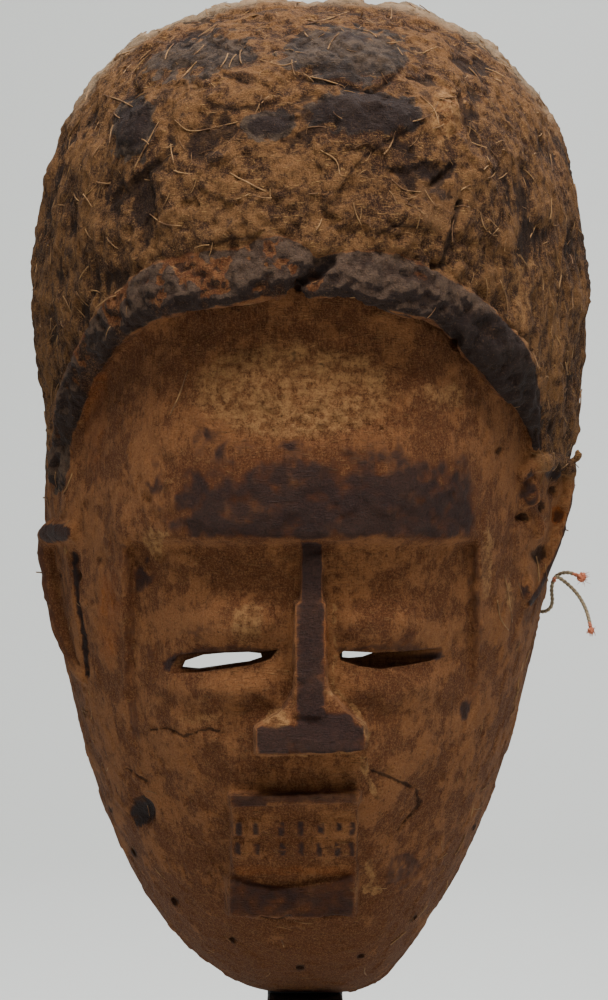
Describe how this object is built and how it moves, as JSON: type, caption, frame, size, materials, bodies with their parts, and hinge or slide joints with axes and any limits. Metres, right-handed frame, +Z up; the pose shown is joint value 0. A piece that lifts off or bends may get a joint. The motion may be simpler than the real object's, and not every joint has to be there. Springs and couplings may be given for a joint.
{
  "type": "carved face mask",
  "caption": "Hollow carved wooden face mask with domed hair, slit eyes, T-shaped nose, toothed block mouth and C-shaped ears, on a black display stand, with knotted twine at its rim",
  "frame": {"origin": "centre of the stand's underside, on the table", "axes": "+X to the viewer's right, +Y out of the open back of the mask, so that the face looks along -Y, and +Z up"},
  "size_m": [0.2232, 0.1762, 0.5051],
  "materials": {
    "crusted_wood": "dull earth and pigment crust with plant fibre over carved wood",
    "black_stand": "satin black paint",
    "black_felt": "dull felt",
    "twine": "twisted two-ply plant fibre, faded, with reddish frayed ends"
  },
  "bodies": {
    "root": {"mask": "crusted_wood", "stand_base": "black_stand", "stand_post": "black_stand", "stand_ledge": "black_stand", "stand_arm": "black_stand", "stand_pad": "black_felt", "twine_loop": "twine", "twine_loop_knot": "twine", "twine_tail": "twine", "twine_tail_knot": "twine"}
  },
  "joints": []
}
